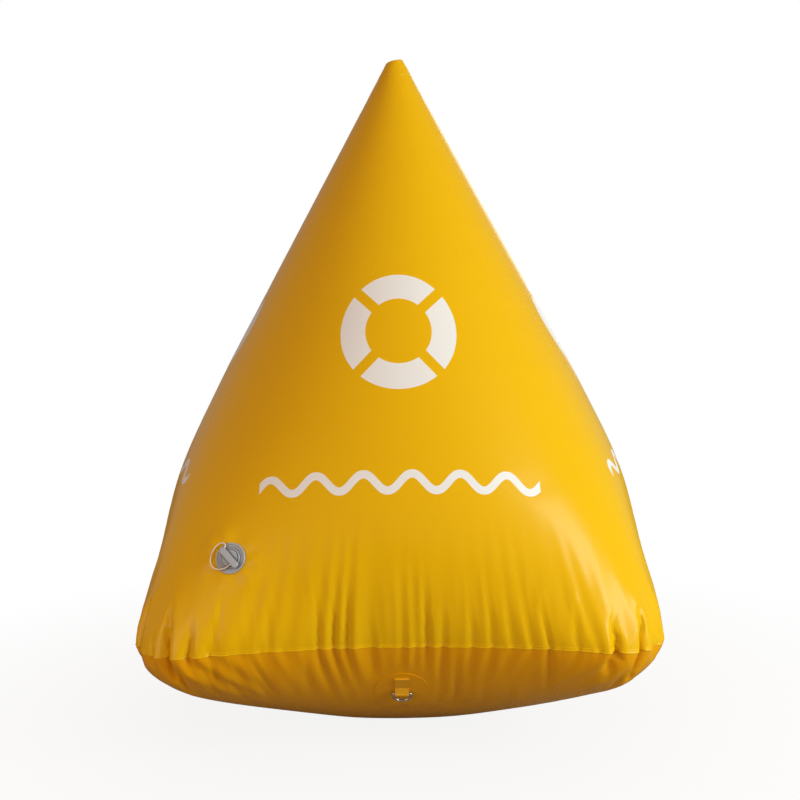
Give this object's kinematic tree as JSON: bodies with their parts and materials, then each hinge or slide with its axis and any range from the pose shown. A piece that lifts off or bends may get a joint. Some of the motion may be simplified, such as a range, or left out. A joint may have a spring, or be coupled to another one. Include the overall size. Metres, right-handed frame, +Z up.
{
  "type": "inflatable marker buoy",
  "caption": "Four-sided inflatable marker buoy with a bulged base, a grey inflation valve with its plug, and a swinging D-ring tie point on each side.",
  "frame": {"origin": "on the floor, under the middle of the buoy", "axes": "+Z up through the tip, -Y out of the side that has the valve, +X to the right when that side is faced"},
  "size_m": [1.0628, 1.0629, 1.487],
  "materials": {
    "printed_pvc": "glossy coated fabric",
    "plain_pvc": "glossy coated fabric",
    "seam_tape": "glossy coated fabric",
    "yellow_webbing": "woven",
    "valve_grey": "satin",
    "tether_cream": "soft gloss",
    "steel_ring": "polished"
  },
  "bodies": {
    "buoy": {"side_wrap": "printed_pvc", "base_panel": "plain_pvc", "base_seam": "seam_tape", "back_seam": "seam_tape", "tip_cap": "plain_pvc", "valve_flange": "valve_grey", "valve_neck": "valve_grey", "valve_plug": "valve_grey", "valve_tether": "tether_cream", "patch_front": "plain_pvc", "patch_right": "plain_pvc", "patch_back": "plain_pvc", "patch_left": "plain_pvc", "strap_front": "yellow_webbing", "strap_right": "yellow_webbing", "strap_back": "yellow_webbing", "strap_left": "yellow_webbing"},
    "ring_front": {"ring_front": "steel_ring"},
    "ring_right": {"ring_right": "steel_ring"},
    "ring_back": {"ring_back": "steel_ring"},
    "ring_left": {"ring_left": "steel_ring"}
  },
  "joints": [
    {"name": "ring_front_swing", "type": "hinge", "parent": "buoy", "child": "ring_front", "pos_m": [0, -0.42406, 0.15001], "axis": [-1, 0, 0], "range_deg": [0, 145]},
    {"name": "ring_right_swing", "type": "hinge", "parent": "buoy", "child": "ring_right", "pos_m": [0.42406, 0, 0.15001], "axis": [0, -1, 0], "range_deg": [0, 145]},
    {"name": "ring_back_swing", "type": "hinge", "parent": "buoy", "child": "ring_back", "pos_m": [0, 0.42406, 0.15001], "axis": [1, 0, 0], "range_deg": [0, 145]},
    {"name": "ring_left_swing", "type": "hinge", "parent": "buoy", "child": "ring_left", "pos_m": [-0.42406, 0, 0.15001], "axis": [0, 1, 0], "range_deg": [0, 145]}
  ]
}
